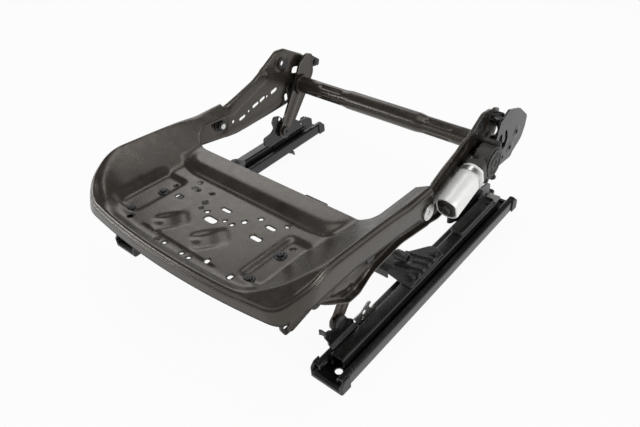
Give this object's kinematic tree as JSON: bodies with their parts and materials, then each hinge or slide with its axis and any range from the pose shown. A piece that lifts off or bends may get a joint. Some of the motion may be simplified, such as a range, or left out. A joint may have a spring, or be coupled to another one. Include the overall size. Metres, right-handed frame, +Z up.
{
  "type": "seat cushion frame",
  "caption": "Powered car seat cushion frame: floor tracks, four-bar height lift with geared motor, pressed seat pan that tilts on pivot bolts.",
  "frame": {"origin": "centre of the four floor bolt holes, on the underside of the lower rails", "axes": "X across the seat with the lift motor on the positive side, Y to the rear, Z up"},
  "size_m": [0.4872, 0.5601, 0.2199],
  "materials": {
    "frame_coat": "satin electro-dip coat",
    "rail_coat": "gloss electro-dip coat",
    "cap_plastic": "moulded",
    "rail_steel": "plain",
    "zinc": "zinc plated",
    "motor_steel": "zinc plated",
    "motor_plastic": "moulded",
    "gear_steel": "hardened",
    "black_screw": "black phosphate",
    "bush_plastic": "moulded"
  },
  "bodies": {
    "root": {"lower_rail_left": "rail_coat", "lower_rail_right": "rail_coat", "rail_front_caps": "cap_plastic", "rail_rear_caps": "cap_plastic", "locating_hooks": "rail_coat", "slide_spindles": "rail_steel", "spindle_supports": "rail_coat"},
    "ball_carriages": {"ball_cages": "cap_plastic", "track_balls": "rail_steel"},
    "track": {"upper_rail_left": "rail_coat", "upper_rail_right": "rail_coat", "front_link_bracket_left": "rail_coat", "front_link_bracket_right": "rail_coat", "rear_link_bracket_left": "rail_coat", "rear_link_bracket_right": "rail_coat", "slide_gearboxes": "motor_plastic", "gearbox_bracket_left": "cap_plastic", "gearbox_bracket_right": "cap_plastic", "slide_beam": "rail_coat", "slide_motor": "motor_steel", "slide_motor_housing": "motor_plastic", "drive_sleeves": "motor_plastic", "bracket_screws": "black_screw", "lower_link_rivets": "black_screw", "cable_bracket": "zinc", "track_cover": "cap_plastic", "rail_end_tabs": "zinc"},
    "rear_lift": {"torque_tube": "frame_coat", "rear_link_left": "frame_coat", "rear_link_right": "frame_coat", "sector_gear": "gear_steel"},
    "front_link_left": {"front_link_left": "frame_coat"},
    "front_link_right": {"front_link_right": "frame_coat"},
    "cushion_frame": {"side_member_left": "frame_coat", "side_member_right": "frame_coat", "torque_tube_bushes": "bush_plastic", "tilt_shaft_hangers": "frame_coat", "tilt_shaft_bushes": "bush_plastic", "upper_link_rivets": "black_screw", "pivot_bolts": "zinc", "pivot_nuts": "black_screw", "backrest_nuts": "black_screw", "rear_outer_plate": "rail_coat", "lift_motor": "motor_steel", "lift_motor_cap": "motor_plastic", "lift_gear_housing": "motor_plastic", "lift_gear_cover": "gear_steel", "lift_gear_screws": "black_screw", "motor_strap": "zinc", "harness_bracket": "frame_coat", "harness_stud": "black_screw"},
    "lift_pinion": {"lift_pinion": "gear_steel"},
    "pan": {"seat_pan": "frame_coat", "pan_bracket_left": "frame_coat", "pan_bracket_right": "frame_coat", "pan_bolts": "black_screw"},
    "tilt_shaft": {"tilt_shaft": "frame_coat", "tilt_cranks": "frame_coat"}
  },
  "joints": [
    {"name": "track_slide", "type": "slide", "parent": "root", "child": "track", "axis": [0, 1, 0], "range_m": [-0.12, 0.12]},
    {"name": "ball_roll", "type": "slide", "parent": "root", "child": "ball_carriages", "axis": [0, 1, 0], "range_m": [-0.06, 0.06]},
    {"name": "rear_lift", "type": "hinge", "parent": "track", "child": "rear_lift", "pos_m": [0, 0.14, 0.055], "axis": [1, 0, 0], "range_deg": [-28, 16]},
    {"name": "frame_level", "type": "hinge", "parent": "rear_lift", "child": "cushion_frame", "pos_m": [0, 0.197, 0.13], "axis": [1, 0, 0], "range_deg": [-16, 28]},
    {"name": "front_lift_left", "type": "hinge", "parent": "track", "child": "front_link_left", "pos_m": [-0.193, -0.175, 0.055], "axis": [1, 0, 0], "range_deg": [-28, 16]},
    {"name": "front_lift_right", "type": "hinge", "parent": "track", "child": "front_link_right", "pos_m": [0.193, -0.175, 0.055], "axis": [1, 0, 0], "range_deg": [-28, 16]},
    {"name": "pinion_spin", "type": "hinge", "parent": "cushion_frame", "child": "lift_pinion", "pos_m": [0.21, 0.14027, 0.14206], "axis": [1, 0, 0], "range_deg": [-52, 90]},
    {"name": "pan_tilt", "type": "hinge", "parent": "cushion_frame", "child": "pan", "pos_m": [0, -0.002, 0.133], "axis": [-1, 0, 0], "range_deg": [-0.8, 6]},
    {"name": "tilt_crank", "type": "hinge", "parent": "cushion_frame", "child": "tilt_shaft", "pos_m": [0, -0.203, 0.115], "axis": [-1, 0, 0], "range_deg": [-6, 38]}
  ],
  "couplings": [
    {"joint": "ball_roll", "follows": "track_slide", "ratio": 0.5},
    {"joint": "frame_level", "follows": "rear_lift", "ratio": -1},
    {"joint": "front_lift_left", "follows": "rear_lift", "ratio": 1},
    {"joint": "front_lift_right", "follows": "rear_lift", "ratio": 1},
    {"joint": "pinion_spin", "follows": "rear_lift", "ratio": -3.1429},
    {"joint": "tilt_crank", "follows": "pan_tilt", "ratio": 5.98}
  ]
}
